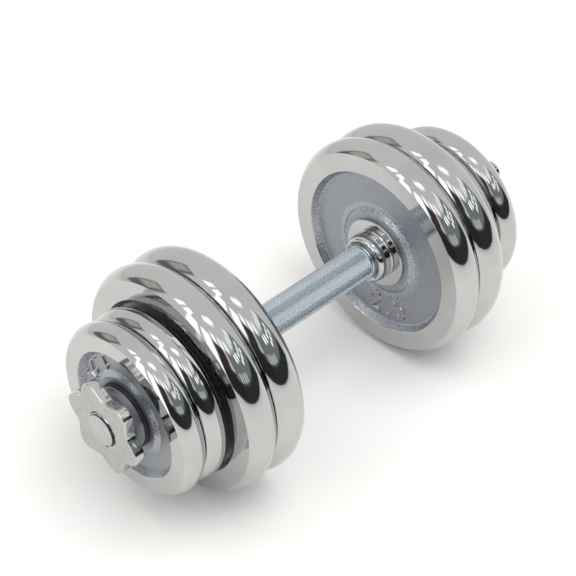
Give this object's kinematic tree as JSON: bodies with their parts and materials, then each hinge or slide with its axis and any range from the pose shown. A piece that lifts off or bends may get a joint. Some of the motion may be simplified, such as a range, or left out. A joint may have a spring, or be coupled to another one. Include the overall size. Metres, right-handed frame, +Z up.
{
  "type": "adjustable dumbbell",
  "caption": "Adjustable dumbbell: knurled bar with inner stop collars, chromed cast iron plates and screw-on star collars with rubber rings.",
  "frame": {"origin": "centre of the bar, which is the centre of the whole dumbbell's box", "axes": "+X along the bar, toward the end where the plates' marked faces look at the grip; +Z up"},
  "size_m": [0.362, 0.1674, 0.1674],
  "materials": {
    "zinc_plated_steel": "bright zinc plating over a fine diamond knurl and thread",
    "chrome": "polished chrome",
    "chromed_iron": "cast iron, polished and chrome plated on the rim and ring, silver-grey enamel in the recess",
    "black_rubber": "moulded rubber",
    "spring_steel": "plain spring steel"
  },
  "bodies": {
    "handle": {"bar": "zinc_plated_steel", "left_inner_collar": "chrome", "right_inner_collar": "chrome", "left_collar_pin": "spring_steel", "right_collar_pin": "spring_steel"},
    "left_inner_big_plate": {"left_inner_big_plate": "chromed_iron"},
    "left_outer_big_plate": {"left_outer_big_plate": "chromed_iron"},
    "left_inner_small_plate": {"left_inner_small_plate": "chromed_iron"},
    "left_outer_small_plate": {"left_outer_small_plate": "chromed_iron"},
    "left_rubber_ring": {"left_rubber_ring": "black_rubber"},
    "left_star_collar": {"left_star_collar": "chrome"},
    "right_inner_big_plate": {"right_inner_big_plate": "chromed_iron"},
    "right_outer_big_plate": {"right_outer_big_plate": "chromed_iron"},
    "right_inner_small_plate": {"right_inner_small_plate": "chromed_iron"},
    "right_outer_small_plate": {"right_outer_small_plate": "chromed_iron"},
    "right_rubber_ring": {"right_rubber_ring": "black_rubber"},
    "right_star_collar": {"right_star_collar": "chrome"}
  },
  "joints": [
    {"name": "left_inner_big_plate_slide", "type": "slide", "parent": "handle", "child": "left_inner_big_plate", "axis": [-1, 0, 0], "range_m": [0, 0.0041]},
    {"name": "left_outer_big_plate_slide", "type": "slide", "parent": "handle", "child": "left_outer_big_plate", "axis": [-1, 0, 0], "range_m": [0, 0.0081]},
    {"name": "left_inner_small_plate_slide", "type": "slide", "parent": "handle", "child": "left_inner_small_plate", "axis": [-1, 0, 0], "range_m": [0, 0.0121]},
    {"name": "left_outer_small_plate_slide", "type": "slide", "parent": "handle", "child": "left_outer_small_plate", "axis": [-1, 0, 0], "range_m": [0, 0.0161]},
    {"name": "left_collar_travel", "type": "slide", "parent": "handle", "child": "left_rubber_ring", "axis": [-1, 0, 0], "range_m": [0, 0.02]},
    {"name": "left_collar_turn", "type": "hinge", "parent": "left_rubber_ring", "child": "left_star_collar", "pos_m": [-0.171, 0, 0], "axis": [-1, 0, 0], "range_deg": [0, 1441]},
    {"name": "right_inner_big_plate_slide", "type": "slide", "parent": "handle", "child": "right_inner_big_plate", "axis": [1, 0, 0], "range_m": [0, 0.0041]},
    {"name": "right_outer_big_plate_slide", "type": "slide", "parent": "handle", "child": "right_outer_big_plate", "axis": [1, 0, 0], "range_m": [0, 0.0081]},
    {"name": "right_inner_small_plate_slide", "type": "slide", "parent": "handle", "child": "right_inner_small_plate", "axis": [1, 0, 0], "range_m": [0, 0.0121]},
    {"name": "right_outer_small_plate_slide", "type": "slide", "parent": "handle", "child": "right_outer_small_plate", "axis": [1, 0, 0], "range_m": [0, 0.0161]},
    {"name": "right_collar_travel", "type": "slide", "parent": "handle", "child": "right_rubber_ring", "axis": [1, 0, 0], "range_m": [0, 0.02]},
    {"name": "right_collar_turn", "type": "hinge", "parent": "right_rubber_ring", "child": "right_star_collar", "pos_m": [0.171, 0, 0], "axis": [1, 0, 0], "range_deg": [0, 1441]}
  ],
  "couplings": [
    {"joint": "left_collar_turn", "follows": "left_collar_travel", "rad_per_m": 1256.6},
    {"joint": "left_inner_big_plate_slide", "follows": "left_collar_travel", "ratio": 0.2},
    {"joint": "left_outer_big_plate_slide", "follows": "left_collar_travel", "ratio": 0.4},
    {"joint": "left_inner_small_plate_slide", "follows": "left_collar_travel", "ratio": 0.6},
    {"joint": "left_outer_small_plate_slide", "follows": "left_collar_travel", "ratio": 0.8},
    {"joint": "right_collar_turn", "follows": "right_collar_travel", "rad_per_m": 1256.6},
    {"joint": "right_inner_big_plate_slide", "follows": "right_collar_travel", "ratio": 0.2},
    {"joint": "right_outer_big_plate_slide", "follows": "right_collar_travel", "ratio": 0.4},
    {"joint": "right_inner_small_plate_slide", "follows": "right_collar_travel", "ratio": 0.6},
    {"joint": "right_outer_small_plate_slide", "follows": "right_collar_travel", "ratio": 0.8}
  ]
}
